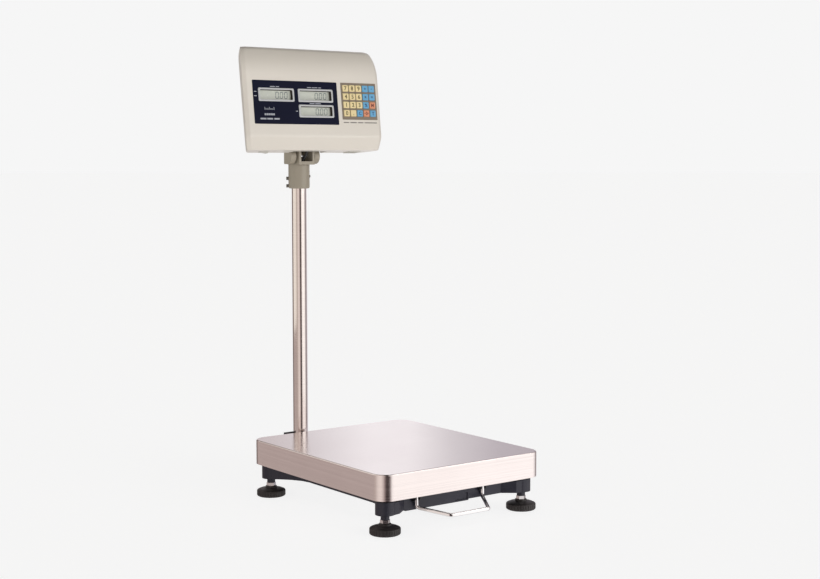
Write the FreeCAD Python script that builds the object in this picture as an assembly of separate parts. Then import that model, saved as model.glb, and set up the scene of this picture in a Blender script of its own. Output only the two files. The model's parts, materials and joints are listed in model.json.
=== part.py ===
import FreeCAD, Part
import os
import math

os.makedirs("parts", exist_ok=True)
V = FreeCAD.Vector

# ---------------------------------------------------------------- dimensions
# Working frame while building: X right, Y back, Z up, millimetres, platform
# centre at X = Y = 0 and the floor at Z = 0.  Every shape is shifted by
# (SHIFT_X, SHIFT_Y) at the end, so that the origin is the bottom centre of
# the whole object's bounding box.
PAN_W, PAN_D = 400.0, 470.0          # weighing pan, left-right and front-back
PAN_TOP = 120.0
PAN_SKIRT = 51.0
PAN_SHEET = 1.5
PAN_CORNER_R = 30.0
PAN_EDGE_R = 3.0

FOOT_X, FOOT_Y = 170.0, 204.0        # levelling feet
FOOT_R = 30.0
FOOT_TRAVEL = 12.0
STUD_R = 5.0
NUT_AF = 17.0

FRAME_BOTTOM = 38.0                  # cast base frame
FRAME_TOP = 62.0
RING_X, RING_Y = 133.0, 198.0
RING_W = 24.0
LOBE_R = 19.0
BEAM_HALF = 40.0

CELL_L, CELL_W, CELL_H = 150.0, 40.0, 36.0   # single-point load cell
CELL_Z0 = 60.0

TOPF_Z0, TOPF_Z1 = 99.0, 113.0       # pan support frame
CUSHION_TOP = 118.3

POLE_X, POLE_Y = -57.0, 264.0        # upright
POLE_R = 16.0
POLE_WALL = 1.5
POLE_Z0, POLE_Z1 = 38.0, 689.5

COLLAR_R = 22.75                     # neck clamped on the upright
COLLAR_Z0 = 643.0
BLOCK_HALF = 19.5
BLOCK_Z0, BLOCK_Z1 = 694.0, 738.0
BLOCK_Y0, BLOCK_Y1 = -31.5, 14.0     # from the upright's axis
WINDOW_HALF = 14.3
PIVOT_Y, PIVOT_Z = -10.0, 712.0      # tilt axis, from the upright's axis

EAR_IN, EAR_OUT = 23.3, 36.0         # tilt bracket ears
EAR_R = 17.0

HEAD_HW = 170.5                      # indicator head, half width
HEAD_TILT = 7.0                      # face leans back, degrees
HEAD_Y, HEAD_Z = -72.0, 753.0        # lower edge of the flat face
SIDE_DRAFT = 28.0
WALL = 2.5

PANEL = (-150.2, 58.1, 25.4, 115.7)  # display overlay: x0, x1, v0, v1 on the face
KEYPLATE = (68.0, 159.1, 37.0, 115.7)
WINDOWS = ((-137.3, -50.5, 72.2, 100.1),
           (-40.9, 46.5, 72.2, 100.1),
           (-40.9, 46.5, 39.9, 66.9))
KEY_PITCH_X, KEY_PITCH_V = 17.0, 17.7
KEY_W, KEY_H = 14.5, 13.8
KEY_TRAVEL = 0.8

HANDLE_X = -13.0                     # centre of the wire handle
HANDLE_HALF = 82.0
HANDLE_R = 4.0
HANDLE_Y, HANDLE_Z = -203.0, 62.0    # its hinge axis
HANDLE_REACH = 63.0
HANDLE_BAR_HALF = 46.0


# ------------------------------------------------------------------- helpers
def box(x0, x1, y0, y1, z0, z1):
    return Part.makeBox(x1 - x0, y1 - y0, z1 - z0, V(x0, y0, z0))


def cyl(r, z0, z1, x=0.0, y=0.0):
    return Part.makeCylinder(r, z1 - z0, V(x, y, z0), V(0, 0, 1))


def rod(r, a, b):
    d = V(*b) - V(*a)
    return Part.makeCylinder(r, d.Length, V(*a), d)


def prism(points, axis, lo, hi):
    """Closed polygon swept straight along one axis."""
    if axis == "z":
        pts = [V(a, b, lo) for a, b in points]
        d = V(0, 0, hi - lo)
    elif axis == "x":
        pts = [V(lo, a, b) for a, b in points]
        d = V(hi - lo, 0, 0)
    else:
        pts = [V(a, lo, b) for a, b in points]
        d = V(0, hi - lo, 0)
    return Part.Face(Part.makePolygon(pts + [pts[0]])).extrude(d)


def rounded(x0, x1, y0, y1, z0, z1, r):
    """Upright block with rounded vertical corners."""
    b = box(x0, x1, y0, y1, z0, z1)
    edges = [e for e in b.Edges
             if abs(e.Vertexes[0].Z - e.Vertexes[1].Z) > 1e-6]
    return b.makeFillet(r, edges)


def hexagon(af, z0, z1, x=0.0, y=0.0):
    r = af / math.sqrt(3.0)
    pts = [(x + r * math.cos(math.radians(60 * i + 30)),
            y + r * math.sin(math.radians(60 * i + 30))) for i in range(6)]
    return prism(pts, "z", z0, z1)


def revolve(points, x=0.0, y=0.0):
    """Profile of (radius, z) points turned about a vertical line."""
    pts = [V(r, 0, z) for r, z in points]
    f = Part.Face(Part.makePolygon(pts + [pts[0]]))
    s = f.revolve(V(0, 0, 0), V(0, 0, 1), 360)
    s.translate(V(x, y, 0))
    return s


def fuse(shapes):
    s = shapes[0]
    if len(shapes) > 1:
        s = s.multiFuse(shapes[1:])
    return s.removeSplitter()


def cut(s, tools):
    for t in tools:
        s = s.cut(t)
    return s


def group(shapes):
    return Part.makeCompound(shapes)


def pipe(points, r, factor=0.45, cap=None):
    """Round bar along straight runs joined by tangent arcs."""
    pts = [V(*p) for p in points]
    edges = []
    start = pts[0]
    for i in range(1, len(pts) - 1):
        a, b, c = pts[i - 1], pts[i], pts[i + 1]
        u, w = (a - b), (c - b)
        lu, lw = u.Length, w.Length
        u.normalize()
        w.normalize()
        turn = math.pi - math.acos(max(-1.0, min(1.0, u.dot(w))))
        t = factor * min(lu, lw)
        top_r = cap[i - 1] if isinstance(cap, (list, tuple)) else cap
        if top_r and t / math.tan(turn / 2) > top_r:
            t = top_r * math.tan(turn / 2)
        p, q = b + u * t, b + w * t
        bis = u + w
        bis.normalize()
        rad = t / math.tan(turn / 2)
        centre = b + bis * (rad / math.cos(turn / 2))
        mid = centre - bis * rad
        if (p - start).Length > 1e-6:
            edges.append(Part.LineSegment(start, p).toShape())
        edges.append(Part.Arc(p, mid, q).toShape())
        start = q
    edges.append(Part.LineSegment(start, pts[-1]).toShape())
    path = Part.Wire(edges)
    d = pts[1] - pts[0]
    prof = Part.Wire([Part.makeCircle(r, pts[0], d)])
    s = path.makePipeShell([prof], True, True)
    length = path.Length
    print("pipe: length %.1f mm, volume ratio %.4f" % (length, s.Volume / (math.pi * r * r * length)))
    return s


NODES = {}


def node(name, shape):
    NODES[name] = shape


# ---------------------------------------------------------- levelling feet
FEET = {"fl": (-FOOT_X, -FOOT_Y), "fr": (FOOT_X, -FOOT_Y),
        "rl": (-FOOT_X, FOOT_Y), "rr": (FOOT_X, FOOT_Y)}
STUD_TOP = 66.0
for tag, (fx, fy) in FEET.items():
    pad = revolve([(0, 0), (27.0, 0), (29.2, 1.2), (FOOT_R, 2.6), (FOOT_R, 11.4), (29.0, 13.0),
                   (24.0, 15.2), (17.0, 16.8), (12.6, 17.6), (12.0, 18.4), (12.0, 20.4), (11.0, 21.2),
                   (0, 21.2)], fx, fy)
    notches = []
    for i in range(32):
        a = math.radians(i * 11.25)
        notches.append(cyl(1.5, -1, 16, fx + (FOOT_R + 0.4) * math.cos(a), fy + (FOOT_R + 0.4) * math.sin(a)))
    pad = pad.cut(Part.makeCompound(notches))
    pad = pad.cut(cyl(STUD_R, 6.0, 30.0, fx, fy))
    node("foot_pad_" + tag, pad)
    node("foot_stud_" + tag, cyl(STUD_R, 6.0, STUD_TOP, fx, fy))
node("foot_lock_nuts", group([
    hexagon(NUT_AF, 21.7, 28.0, fx, fy).cut(cyl(STUD_R + 0.06, 20.0, 30.0, fx, fy)) for fx, fy in FEET.values()]))

# ------------------------------------------------------------- base frame
ring = box(-RING_X, RING_X, -RING_Y, RING_Y, FRAME_BOTTOM, FRAME_TOP)
RX, RY = RING_X - RING_W, RING_Y - RING_W
hole_r = rounded(BEAM_HALF, RX, -RY, RY, FRAME_BOTTOM - 1, FRAME_TOP + 1, 12.0)
hole_l = rounded(-RX, -BEAM_HALF, -RY, RY, FRAME_BOTTOM - 1, FRAME_TOP + 1, 12.0)
solids = [ring]
for sx in (-1, 1):
    for sy in (-1, 1):
        # diagonal arm from the ring's corner out to the foot's lobe
        pts = [(120, 197), (122, 199), (146, 217.5), (158, 219.5), (186, 214), (188.4, 200),
               (179, 187.3), (168, 178), (150, 158), (137, 134), (132.9, 112), (125, 112), (120, 130)]
        solids.append(prism([(sx * a, sy * b) for a, b in pts], "z", FRAME_BOTTOM, FRAME_TOP))
        solids.append(cyl(LOBE_R, FRAME_BOTTOM, FRAME_TOP + 2.0, sx * FOOT_X, sy * FOOT_Y))
        solids.append(cyl(8.5, 28.0, FRAME_BOTTOM + 1, sx * FOOT_X, sy * FOOT_Y))
# deeper centre section of the front rail
solids.append(box(-118.0, 38.0, -RING_Y, -RING_Y + RING_W, FRAME_BOTTOM - 2.6, FRAME_BOTTOM + 1))
frame = fuse(solids)
frame = cut(frame, [hole_r, hole_l])
# the centre beam is lower than the ring, so that the load cell sits inside
frame = frame.cut(box(-BEAM_HALF - 1, BEAM_HALF + 1, -RY + 6, RY - 6, 56.0, FRAME_TOP + 5))
for fx, fy in FEET.values():
    frame = frame.cut(cyl(STUD_R + 0.06, 20.0, 80.0, fx, fy))
# shallow label pocket in the front rail and the cable bore in the rear rail
frame = frame.cut(box(4.0, 36.0, -RING_Y - 1, -RING_Y + 2.0, 38.5, 52.0))
frame = frame.cut(box(-29.0, -19.0, 160.0, 210.0, 55.5, FRAME_TOP + 1))
# blind holes for the cell bolts, stop screws, level vial and bracket bolts
CELL_BOLTS_LOW = [(0, -66), (0, -48)]
CELL_BOLTS_TOP = [(0, 66), (0, 48)]
for bx, by in CELL_BOLTS_LOW:
    frame = frame.cut(cyl(4.0, 30, 60, bx, by))
STOPS = [(sx * 121.0, sy * 184.0) for sx in (-1, 1) for sy in (-1, 1)]
for bx, by in STOPS:
    frame = frame.cut(cyl(4.0, 48.0, 70, bx, by))
LEVEL = (62.0, 186.0)
frame = frame.cut(cyl(9.5, 56.0, 70, *LEVEL))
BRACKET_BOLTS = [(POLE_X + a, b) for a in (-27.0, 27.0) for b in (180.5, 191.5)]
for bx, by in BRACKET_BOLTS:
    frame = frame.cut(cyl(3.0, 30, 52, bx, by))
node("base_frame", frame)

stops = []
for bx, by in STOPS:
    stops.append(fuse([cyl(4.0, 48.0, 97.6, bx, by), hexagon(13.0, FRAME_TOP, FRAME_TOP + 6.5, bx, by)]))
node("overload_stops", group(stops))
node("bubble_level", fuse([cyl(9.5, 56.0, 63.0, *LEVEL), cyl(11.0, 62.0, 66.0, *LEVEL)]))

# ------------------------------------------------- load cell and its stack
cell = box(-CELL_W / 2, CELL_W / 2, -CELL_L / 2, CELL_L / 2, CELL_Z0, CELL_Z0 + CELL_H)
zc = CELL_Z0 + CELL_H / 2
cell = cell.cut(rod(13.0, (-30, -15, zc), (30, -15, zc)))
cell = cell.cut(rod(13.0, (-30, 15, zc), (30, 15, zc)))
cell = cell.cut(box(-30, 30, -15, 15, zc - 5, zc + 5))
for bx, by in CELL_BOLTS_LOW:
    cell = cell.cut(cyl(4.0, 50, 74.0, bx, by))
for bx, by in CELL_BOLTS_TOP:
    cell = cell.cut(cyl(4.0, 82.0, 110.0, bx, by))
node("load_cell", cell)
lowsp = box(-20, 20, -75, -38, 56.0, CELL_Z0)
topsp = box(-20, 20, 38, 75, CELL_Z0 + CELL_H, TOPF_Z0)
for bx, by in CELL_BOLTS_LOW:
    lowsp = lowsp.cut(cyl(4.0, 50, 70, bx, by))
for bx, by in CELL_BOLTS_TOP:
    topsp = topsp.cut(cyl(4.0, 90, 110, bx, by))
node("load_cell_spacers", group([lowsp, topsp]))

top = fuse([box(-30, 30, -180, 180, TOPF_Z0, TOPF_Z1 - 1),
            rounded(-178, 178, -198, -162, TOPF_Z0, TOPF_Z1, 8.0),
            rounded(-178, 178, 162, 198, TOPF_Z0, TOPF_Z1, 8.0)])
for bx, by in CELL_BOLTS_TOP:
    top = top.cut(cyl(4.0, 90, 120, bx, by)).cut(cyl(7.0, 106.0, 120, bx, by))
node("top_frame", top)
CUSH = [(sx * 155.0, sy * 180.0) for sx in (-1, 1) for sy in (-1, 1)]
node("pan_cushions", group([revolve([(0, TOPF_Z1), (15, TOPF_Z1), (15, 117.0), (13.7, CUSHION_TOP), (0, CUSHION_TOP)],
                                    cx, cy) for cx, cy in CUSH]))

# ------------------------------------------------------------ weighing pan
pan = rounded(-PAN_W / 2, PAN_W / 2, -PAN_D / 2, PAN_D / 2, PAN_TOP - PAN_SKIRT, PAN_TOP, PAN_CORNER_R)
rim = [e for e in pan.Edges if all(abs(v.Z - PAN_TOP) < 1e-6 for v in e.Vertexes)]
pan = pan.makeFillet(PAN_EDGE_R, rim)
t = PAN_SHEET
inner = rounded(-PAN_W / 2 + t, PAN_W / 2 - t, -PAN_D / 2 + t, PAN_D / 2 - t,
                PAN_TOP - PAN_SKIRT - 5, PAN_TOP - t, PAN_CORNER_R - t)
rim = [e for e in inner.Edges if all(abs(v.Z - (PAN_TOP - t)) < 1e-6 for v in e.Vertexes)]
inner = inner.makeFillet(PAN_EDGE_R - t, rim)
node("pan", pan.cut(inner))

# ------------------------------------------------------------ wire handle
hy, hz, hr = HANDLE_Y, HANDLE_Z, HANDLE_R
xl, xr = HANDLE_X - HANDLE_HALF, HANDLE_X + HANDLE_HALF
bar_l, bar_r = HANDLE_X - HANDLE_BAR_HALF, HANDLE_X + HANDLE_BAR_HALF
bend_z, bar_z = 40.0, 31.6
wire_path = [(xl, hy, hz), (xl, hy, bend_z), (bar_l, hy - HANDLE_REACH, bar_z),
             (bar_r, hy - HANDLE_REACH, bar_z), (xr, hy, bend_z), (xr, hy, hz)]
wire = pipe(wire_path, hr, 0.45, cap=9.0)
pins = [rod(3.6, (x - 10.0, hy, hz), (x + 10.0, hy, hz)) for x in (xl, xr)]
crowns = [Part.makeSphere(hr, V(x, hy, hz)) for x in (xl, xr)]
bail = wire.multiFuse(pins + crowns)
node("bail_handle", bail)
lugs = []
for x in (xl, xr):
    parts = []
    for a, b in ((-7.6, -4.9), (4.9, 7.6)):
        plate = prism([(-RING_Y, 52.0), (-RING_Y, 61.9), (-RING_Y - 0.2, 68.5), (hy - 2.5, 68.5), (hy - 6.5, 66.0),
                       (hy - 6.5, 58.0), (hy - 3.5, 54.5), (hy + 1.0, 52.0)], "x", x + a, x + b)
        parts.append(plate.cut(rod(3.66, (x - 12, hy, hz), (x + 12, hy, hz))))
    lug = parts[0].multiFuse([parts[1], box(x - 7.6, x + 7.6, -RING_Y - 0.6, -RING_Y, 60.0, 62.0)])
    lugs.append(lug.removeSplitter())
node("handle_lugs", group(lugs))

# ----------------------------------------------------- upright and bracket
px, py = POLE_X, POLE_Y
plate = box(px - 36, px + 36, 174.5, py + 22, FRAME_BOTTOM - 6.0, FRAME_BOTTOM)
plate = plate.makeFillet(6.0, [e for e in plate.Edges
                               if abs(e.Vertexes[0].Z - e.Vertexes[1].Z) > 1e-6 and e.Vertexes[0].Y > 200])
socket = cyl(20.0, FRAME_BOTTOM - 1, 112.0, px, py)
wing = box(px - 36, px - 2, 270.0, 276.0, FRAME_BOTTOM - 1, 114.5)
web = prism([(200.5, 37), (246, 37), (246, 66), (238, 66), (200.5, 58)], "x", px - 3.5, px + 3.5)
bracket = fuse([plate, socket, wing, web])
bracket = bracket.cut(cyl(POLE_R + 0.05, FRAME_BOTTOM, 130, px, py))
for bx, by in BRACKET_BOLTS:
    bracket = bracket.cut(cyl(3.0, 20, 50, bx, by))
# cable way through the socket wall
CABLE_IN = V(33.0, -49.0, 0.0)
CABLE_IN.normalize()
CAB_Z = 59.3
cin = rod(4.4, (px + CABLE_IN.x * 8, py + CABLE_IN.y * 8, CAB_Z), (px + CABLE_IN.x * 30, py + CABLE_IN.y * 30, CAB_Z))
bracket = bracket.cut(cin)
SCREW_Z = (62.0, 98.0)
for sz in SCREW_Z:
    bracket = bracket.cut(rod(3.0, (px, py + 10, sz), (px, py + 30, sz)))
node("pole_bracket", bracket)

pole = cyl(POLE_R, POLE_Z0, POLE_Z1, px, py).cut(cyl(POLE_R - POLE_WALL, POLE_Z0 - 1, POLE_Z1 + 1, px, py))
pole = pole.cut(cin)
node("pole", pole)

bolts = []
for bx, by in CELL_BOLTS_LOW:
    bolts.append(fuse([hexagon(13.0, 34.0, 40.0 - 2.0, bx, by), cyl(4.0, 37.0, 73.5, bx, by)]))
for bx, by in CELL_BOLTS_TOP:
    bolts.append(fuse([cyl(6.5, 106.0, 111.5, bx, by), cyl(4.0, 82.5, 107.0, bx, by)]))
for bx, by in BRACKET_BOLTS:
    bolts.append(fuse([hexagon(10.0, 27.5, 32.0, bx, by), cyl(3.0, 31.0, 51.5, bx, by)]))
for sz in SCREW_Z:
    bolts.append(fuse([rod(3.0, (px, py + 16.1, sz), (px, py + 21, sz)), rod(5.5, (px, py + 20.4, sz), (px, py + 25.0, sz))]))
node("frame_bolts", group(bolts))

# cable from the load cell, along the frame and up inside the upright
CAB_R = 2.5
cable = pipe([(-14, 75.2, 72), (-14, 104, 72), (-24, 146, CAB_Z), (-24, 214, CAB_Z),
              (px, py, CAB_Z), (px, py, 150.0)], CAB_R, 0.45, cap=[40.0, 40.0, 40.0, 10.5])
riser = cyl(CAB_R, 149.9, 670.0, px, py)
node("signal_cable", cable.fuse(riser).removeSplitter())

# ------------------------------------------------------------------- neck
def at_pole(s):
    s.translate(V(POLE_X, POLE_Y, 0))
    return s


collar = revolve([(0, COLLAR_Z0), (COLLAR_R - 2.2, COLLAR_Z0), (COLLAR_R, COLLAR_Z0 + 2.2), (COLLAR_R, BLOCK_Z0 + 4),
                  (0, BLOCK_Z0 + 4)])
block = prism([(BLOCK_Y0, BLOCK_Z0), (BLOCK_Y1, BLOCK_Z0), (BLOCK_Y1, 730.0), (6.0, BLOCK_Z1),
               (-26.0, BLOCK_Z1), (BLOCK_Y0, 732.5)], "x", -BLOCK_HALF, BLOCK_HALF)
neck = collar.fuse(block).removeSplitter()
neck = neck.cut(cyl(POLE_R + 0.06, COLLAR_Z0 - 1, 690.0))
neck = neck.cut(box(-WINDOW_HALF, WINDOW_HALF, BLOCK_Y0 - 1, 9.0, 701.0, BLOCK_Z1 + 1))
neck = neck.cut(box(-6.5, 10.0, -15.5, 5.5, 689.0, 702.0))
neck = neck.cut(rod(4.05, (-40, PIVOT_Y, PIVOT_Z), (40, PIVOT_Y, PIVOT_Z)))
CLAMP_DIR = V(-0.8388, 0.5445, 0)
CLAMP_Z = (648.5, 664.5)
for sz in CLAMP_Z:
    a = CLAMP_DIR * 15.0
    b = CLAMP_DIR * 30.0
    neck = neck.cut(rod(2.0, (a.x, a.y, sz), (b.x, b.y, sz)))
    a = CLAMP_DIR * 22.4
    neck = neck.cut(rod(3.6, (a.x, a.y, sz), (b.x, b.y, sz)))
neck = neck.cut(rod(2.6, (22.3 * 0.8388, -22.3 * 0.5445, 669.0), (30 * 0.8388, -30 * 0.5445, 669.0)))
neck = neck.cut(rod(1.6, (15.0 * 0.8388, -15.0 * 0.5445, 669.0), (30 * 0.8388, -30 * 0.5445, 669.0)))
node("neck", at_pole(neck))
cl = []
for sz in CLAMP_Z:
    a, b, c = CLAMP_DIR * 16.2, CLAMP_DIR * 22.4, CLAMP_DIR * 27.4
    cl.append(at_pole(fuse([rod(2.0, (a.x, a.y, sz), (b.x, b.y, sz)), rod(3.6, (b.x, b.y, sz), (c.x, c.y, sz))])))
g = V(0.8388, -0.5445, 0)
a, b, c = g * 16.2, g * 22.3, g * 24.3
cl.append(at_pole(fuse([rod(1.6, (a.x, a.y, 669.0), (b.x, b.y, 669.0)), rod(2.6, (b.x, b.y, 669.0), (c.x, c.y, 669.0))])))
node("neck_clamp_screws", group(cl))
NECK_CABLE = [(0, 0, 670.3), (0, 0, 688.0), (4.0, -16.5, 708.0), (10.5, -25.5, 736.0)]
node("neck_cable", at_pole(pipe(NECK_CABLE, CAB_R, 0.45)))

# --------------------------------------------------------- tilt bracket
def ear(x0, x1):
    pts = [(PIVOT_Y, 695.0)]
    for i in range(1, 25):
        a = math.radians(270 - i * (270 - 126.3) / 24.0)
        pts.append((PIVOT_Y + EAR_R * math.cos(a), PIVOT_Z + EAR_R * math.sin(a)))
    pts += [(-20.0, 764.0), (-8.5, 764.0), (2.6, 748.0), (2.6, 697.4), (1.9, 695.7), (0.2, 695.0)]
    return prism(pts, "x", x0, x1)


base = box(-38, 38, -43.5, -12.0, 759.0, 764.0)
brk = fuse([ear(-EAR_OUT, -EAR_IN), ear(EAR_IN, EAR_OUT), base])
brk = brk.cut(rod(4.0, (-31.0, PIVOT_Y, PIVOT_Z), (40, PIVOT_Y, PIVOT_Z)))
brk = brk.cut(rod(6.6, (EAR_OUT - 6.0, PIVOT_Y, PIVOT_Z), (40, PIVOT_Y, PIVOT_Z)))
BRK_SCREWS = [(-26, -36), (26, -36), (-19, -18), (19, -18)]
for bx, by in BRK_SCREWS:
    brk = brk.cut(cyl(2.0, 750, 770, bx, by))
brk = brk.cut(rod(5.0, (10.5, -30.0, 750), (10.5, -30.0, 770)))
node("tilt_bracket", at_pole(brk))
bolt = fuse([rod(4.0, (-30.9, PIVOT_Y, PIVOT_Z), (31.0, PIVOT_Y, PIVOT_Z)),
             rod(6.5, (EAR_OUT - 6.0, PIVOT_Y, PIVOT_Z), (EAR_OUT - 0.6, PIVOT_Y, PIVOT_Z))])
hexs = hexagon(5.0, 0, 3.4)
hexs.rotate(V(0, 0, 0), V(0, 1, 0), 90)
hexs.translate(V(EAR_OUT - 3.6, PIVOT_Y, PIVOT_Z))
bolt = bolt.cut(hexs)
wash = [rod(10.0, (s * 19.8, PIVOT_Y, PIVOT_Z), (s * EAR_IN, PIVOT_Y, PIVOT_Z)).cut(
    rod(4.0, (-50, PIVOT_Y, PIVOT_Z), (50, PIVOT_Y, PIVOT_Z))) for s in (-1, 1)]
node("tilt_pivot_bolt", at_pole(group([bolt] + wash)))


# ------------------------------------------------------- indicator head
# Head frame: x sideways from the head's middle plane, d straight back from
# the flat face, v up along the face.  place() leans it back by HEAD_TILT.
def place(s):
    s.Placement = FreeCAD.Placement(V(POLE_X, POLE_Y + HEAD_Y, HEAD_Z),
                                    FreeCAD.Rotation(V(1, 0, 0), -HEAD_TILT)).multiply(s.Placement)
    return s


V_LO, V_HI = -27.6, 188.3
TAN = math.tan(math.radians(SIDE_DRAFT))


def d_front(v):
    if v < -25.5:
        return 14.2 + 4.0 * (1.0 - math.sqrt(max(0.0, 1.0 - ((-25.5 - v) / 2.1) ** 2)))
    if v < -6.0:
        return 0.557 * -v
    if v < 6.0:
        return 0.557 * (6.0 - v) ** 2 / 24.0
    if v < 128.0:
        return 0.0
    if v < 174.85:
        return 181.0 - math.sqrt(181.0 ** 2 - (v - 128.0) ** 2)
    return 23.55 - math.sqrt(max(0.0, 18.0 ** 2 - (v - 170.3) ** 2))


def d_back(v):
    if v < -20.0:
        return 54.0 + 6.0 * math.sqrt(max(0.0, 1.0 - ((-20.0 - v) / 7.6) ** 2))
    lin = 60.0 + (v + 20.0) * 25.0 / 185.0
    if v <= 164.3:
        return lin
    return 61.0 + 24.0 * math.sqrt(max(0.0, 1.0 - ((v - 164.3) / 24.0) ** 2))


def t_side(v):
    if v > 165.0:
        s = (v - 165.0) / 23.3
        return 4.0 * (1.0 - math.sqrt(max(0.0, 1.0 - s * s)))
    if v < -12.0:
        s = (-12.0 - v) / 15.6
        return 1.5 * (1.0 - math.sqrt(max(0.0, 1.0 - s * s)))
    return 0.0


def half(d):
    return HEAD_HW - (d - 5.0) * TAN


def section(v, inset=0.0, vo=None):
    vv = v if vo is None else vo
    f, b, ts = d_front(vv), d_back(vv), t_side(vv)
    if b - f < 30.0:
        b = f + 30.0
    k = inset / WALL
    p = [(half(f + 5.0) - ts - 8.0 - 1.6 * k, f + inset),
         (half(f + 5.0) - ts - 3.0 * k, f + 5.0 + 1.0 * k),
         (half(b - 8.0) - ts - 3.0 * k, b - 8.0 - 1.0 * k),
         (half(b - 8.0) - ts - 7.0 - 1.6 * k, b - inset)]
    ring_pts = p + [(-a, d) for a, d in reversed(p)]
    return [V(a, d, v) for a, d in ring_pts]


def skin(rows):
    """Closed solid of flat faces through a stack of equal-sided sections."""
    faces = []
    n = len(rows[0])
    for lo, hi in zip(rows, rows[1:]):
        for i in range(n):
            a, b, c, d = lo[i], lo[(i + 1) % n], hi[(i + 1) % n], hi[i]
            nrm = (b - a).cross(d - a)
            nrm.normalize()
            if abs((c - a).dot(nrm)) < 1e-7:
                faces.append(Part.Face(Part.makePolygon([a, b, c, d, a])))
            else:
                faces.append(Part.Face(Part.makePolygon([a, b, c, a])))
                faces.append(Part.Face(Part.makePolygon([a, c, d, a])))
    for row in (rows[0], rows[-1]):
        faces.append(Part.Face(Part.makePolygon(list(row) + [row[0]])))
    sh = Part.makeShell(faces)
    sh.sewShape()
    sol = Part.makeSolid(sh)
    if sol.Volume < 0:
        sol.reverse()
    return sol


V_OUT = [V_LO, -27.2, -26.0, -25.5, -20.0, -12.0, -6.0, -3.0, 0.0, 3.0, 6.0, 128.0, 138.0, 148.0, 158.0, 164.3, 170.0,
         174.85, 179.0, 182.5, 185.2, 187.0, 188.0, V_HI]
outer = skin([section(v) for v in V_OUT])
inner_secs = []
for v in V_OUT:
    if v > 150.0:
        vi = v - WALL * (v - 150.0) / (V_HI - 150.0)
    elif v < 0:
        vi = v + WALL * (-v) / 27.6
    else:
        vi = v
    inner_secs.append(section(vi, WALL, v))
cavity = skin(inner_secs)
print('head', outer.isValid(), outer.Volume, cavity.isValid(), cavity.Volume)
shell = outer.cut(cavity)

# parting plane between the front and the rear shell
ang = math.degrees(math.atan2(10.0, V_HI - V_LO))
halfsp = Part.makeBox(600, 300, 600, V(-300, 0, -300))
halfsp.rotate(V(0, 0, 0), V(1, 0, 0), -ang)
halfsp.translate(V(0, 21.0, V_LO))
front = shell.cut(halfsp)
rear = shell.common(halfsp)

# screw posts inside the front shell
POSTS = [(-120.0, 10.0), (120.0, 10.0), (-120.0, 150.0), (120.0, 150.0)]
posts = []
for xx, vv in POSTS:
    posts.append(rod(5.0, (xx, 1.0 + d_front(vv), vv), (xx, d_back(vv) - 4.6, vv)))
front = front.multiFuse(posts)
rect = lambda r, d0, d1, g=0.0: box(r[0] - g, r[1] + g, d0, d1, r[2] - g, r[3] + g)
for xx, vv in POSTS:
    front = front.cut(rod(2.0, (xx, d_back(vv) - 18.0, vv), (xx, 120.0, vv)))
front = front.cut(rect(PANEL, -3, 0.8, 0.15)).cut(rect(KEYPLATE, -3, 1.0, 0.15))
for w in WINDOWS:
    front = front.cut(rect(w, -3, 12.0, 0.1))
kx0, kv1 = KEYPLATE[0], KEYPLATE[3]
front = front.cut(box(kx0 + 2.6, KEYPLATE[1] - 2.6, -3, 12, kv1 - 74.6, kv1 - 3.0))
node("head_front_shell", place(front))

# pocket for the neck under the rear shell; built upright, like the neck
unplace = FreeCAD.Placement(V(POLE_X, POLE_Y + HEAD_Y, HEAD_Z), FreeCAD.Rotation(V(1, 0, 0), -HEAD_TILT)).inverse()


def local(s):
    """A shape built around the upright's axis, brought into the head frame."""
    s = at_pole(s)
    s.Placement = unplace.multiply(s.Placement)
    return s


pocket_out = local(box(-44.5, 44.5, -48.5, 80, 690, 766.5))
pocket_in = local(box(-42, 42, -46, 90, 680, 764.0))
rear = rear.fuse(pocket_out.common(outer).common(halfsp)).cut(pocket_in)
for bx, by in BRK_SCREWS:
    rear = rear.cut(local(cyl(2.0, 750, 775, bx, by)))
rear = rear.cut(local(cyl(5.0, 750, 775, 10.5, -30.0)))
SWITCH = (-112.0, 38.0)
INLET = (112.0, 38.0)
rear = rear.cut(box(SWITCH[0] - 9.9, SWITCH[0] + 9.9, SWITCH[1] - 6.1, SWITCH[1] + 6.1, V_LO - 3, V_LO + 6))
rear = rear.cut(box(INLET[0] - 13.6, INLET[0] + 13.6, INLET[1] - 10.1, INLET[1] + 10.1, V_LO - 3, V_LO + 6))
for xx, vv in POSTS:
    rear = rear.cut(rod(2.2, (xx, d_back(vv) - 8, vv), (xx, 120, vv)))
    rear = rear.cut(rod(4.4, (xx, d_back(vv) - 1.0, vv), (xx, 120, vv)))
# vent slots in the back
for i in range(7):
    vv = 84.0 + i * 8.0
    rear = rear.cut(box(-34, 34, d_back(vv) - 9.0, d_back(vv) + 6.0, vv, vv + 3.0))
node("head_rear_shell", place(rear))

screws = []
for xx, vv in POSTS:
    db = d_back(vv)
    screws.append(fuse([rod(2.0, (xx, db - 17.5, vv), (xx, db, vv)), rod(4.0, (xx, db - 1.0, vv), (xx, db + 1.6, vv))]))
for bx, by in BRK_SCREWS:
    screws.append(local(fuse([cyl(2.0, 757.0, 766.4, bx, by), cyl(3.6, 756.2, 759.0, bx, by)])))
node("head_screws", place(group(screws)))

panel = rect(PANEL, -0.2, 0.8)
for w in WINDOWS:
    panel = panel.cut(rect(w, -3, 3, 0.1))
node("display_panel", place(panel))
bez = []
for w in WINDOWS:
    b = rect(w, -1.5, 6.8)
    b = b.makeChamfer(0.8, [e for e in b.Edges if all(abs(v.Y + 1.5) < 1e-6 for v in e.Vertexes)])
    b = b.cut(box(w[0] + 4.8, w[1] - 4.8, -3, 12, w[2] + 4.4, w[3] - 4.4))
    bez.append(b)
node("lcd_bezels", place(group(bez)))
node("lcd_modules", place(group([rect(w, 6.8, 10.8) for w in WINDOWS])))

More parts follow.
